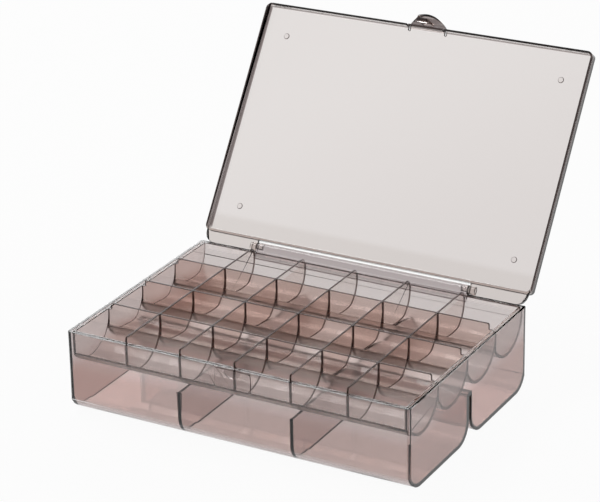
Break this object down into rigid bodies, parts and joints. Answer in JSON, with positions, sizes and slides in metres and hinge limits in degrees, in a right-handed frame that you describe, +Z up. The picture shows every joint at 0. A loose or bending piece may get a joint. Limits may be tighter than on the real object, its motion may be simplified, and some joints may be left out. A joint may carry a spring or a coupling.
{
  "type": "compartment box",
  "caption": "Clear rectangular box of deep compartments with a lift-out tray of round-bottomed cells and a hinged lid that snaps shut.",
  "frame": {"origin": "middle of the front trough's flat foot, on the surface that the box stands on", "axes": "+Z up, -Y towards the front with the latch, +Y towards the hinge, +X to the right seen from the front"},
  "size_m": [0.2212, 0.2467, 0.1864],
  "materials": {
    "smoky_clear": "clear polished moulding with a smoky brown tint",
    "pale_clear": "clear polished moulding with a faint smoky tint"
  },
  "bodies": {
    "box": {"box": "smoky_clear"},
    "tray": {"tray": "smoky_clear"},
    "lid": {"lid": "pale_clear"}
  },
  "joints": [
    {"name": "lid_hinge", "type": "hinge", "parent": "box", "child": "lid", "pos_m": [0, 0.11593, 0.0529], "axis": [-1, 0, 0], "range_deg": [-124.6, 0]},
    {"name": "tray_lift", "type": "slide", "parent": "box", "child": "tray", "axis": [0, 0, 1], "range_m": [0, 0.085]}
  ]
}
